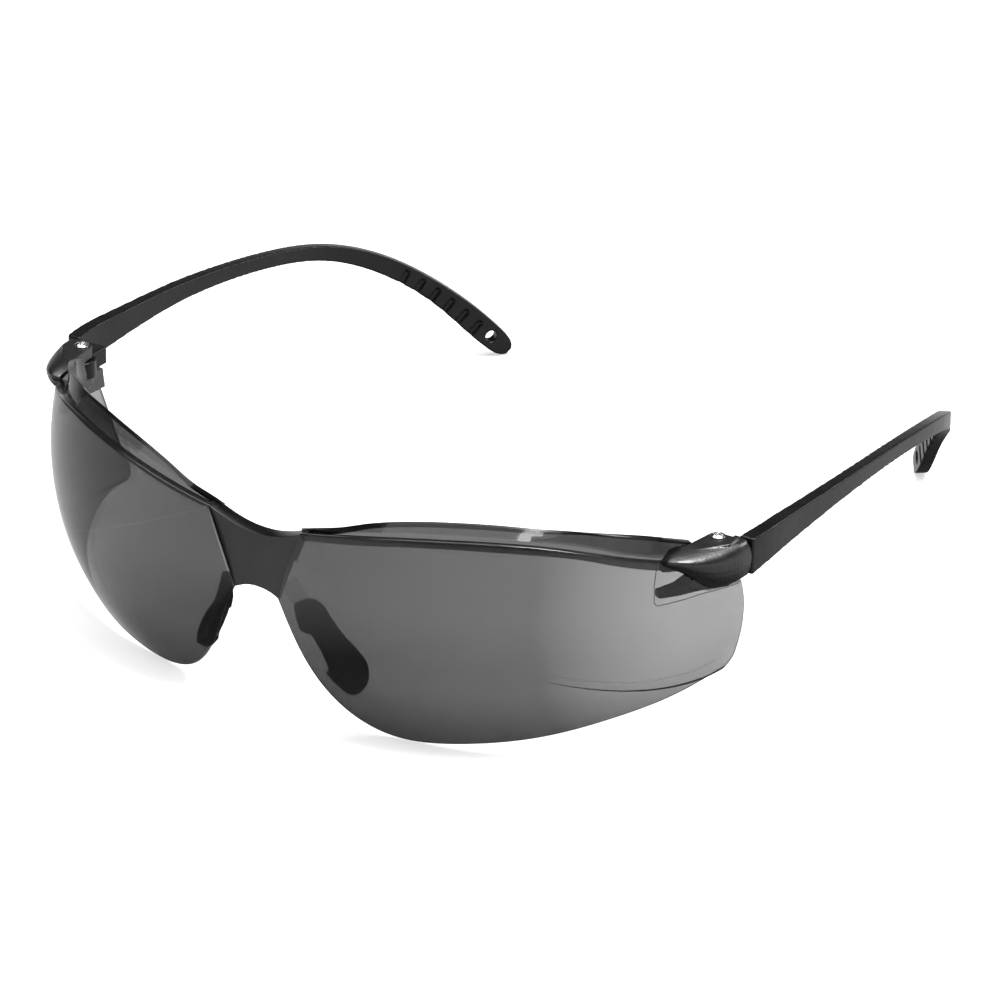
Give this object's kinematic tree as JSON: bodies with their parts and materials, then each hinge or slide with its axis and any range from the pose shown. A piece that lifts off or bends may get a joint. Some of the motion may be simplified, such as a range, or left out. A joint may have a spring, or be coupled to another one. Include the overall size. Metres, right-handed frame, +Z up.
{
  "type": "safety glasses",
  "caption": "Wraparound safety glasses with tinted lenses, a moulded bridge with soft nose pads, screw hinges and curved side arms with ribbed ends.",
  "frame": {"origin": "middle of the footprint, on the surface that the lenses and the ends of the side arms stand on", "axes": "+Z up; +Y from the lenses back to the ends of the side arms; +X towards the wearer's left hand, which is the right of a front view"},
  "size_m": [0.1436, 0.1495, 0.0432],
  "materials": {
    "smoke_polycarbonate": "tinted, glossy",
    "smoke_lens": "transparent grey tint, hard-coated",
    "gloss_black": "gloss with a slight orange peel",
    "soft_black": "matt",
    "satin_black": "satin",
    "bright_steel": "bright nickel plate",
    "brass": "plain"
  },
  "bodies": {
    "front": {"front_frame": "smoke_polycarbonate", "lens_left": "smoke_lens", "lens_right": "smoke_lens", "endpiece_left": "gloss_black", "endpiece_right": "gloss_black", "nose_pad_left": "soft_black", "nose_pad_right": "soft_black", "hinge_screw_left": "bright_steel", "hinge_screw_right": "bright_steel", "hinge_nut_left": "brass", "hinge_nut_right": "brass"},
    "temple_left": {"temple_left": "satin_black"},
    "temple_right": {"temple_right": "satin_black"}
  },
  "joints": [
    {"name": "hinge_left", "type": "hinge", "parent": "front", "child": "temple_left", "pos_m": [-0.066, -0.0345, 0.0329], "axis": [0, 0, 1], "range_deg": [-84, 0]},
    {"name": "hinge_right", "type": "hinge", "parent": "front", "child": "temple_right", "pos_m": [0.066, -0.0345, 0.0329], "axis": [0, 0, 1], "range_deg": [0, 90]}
  ]
}
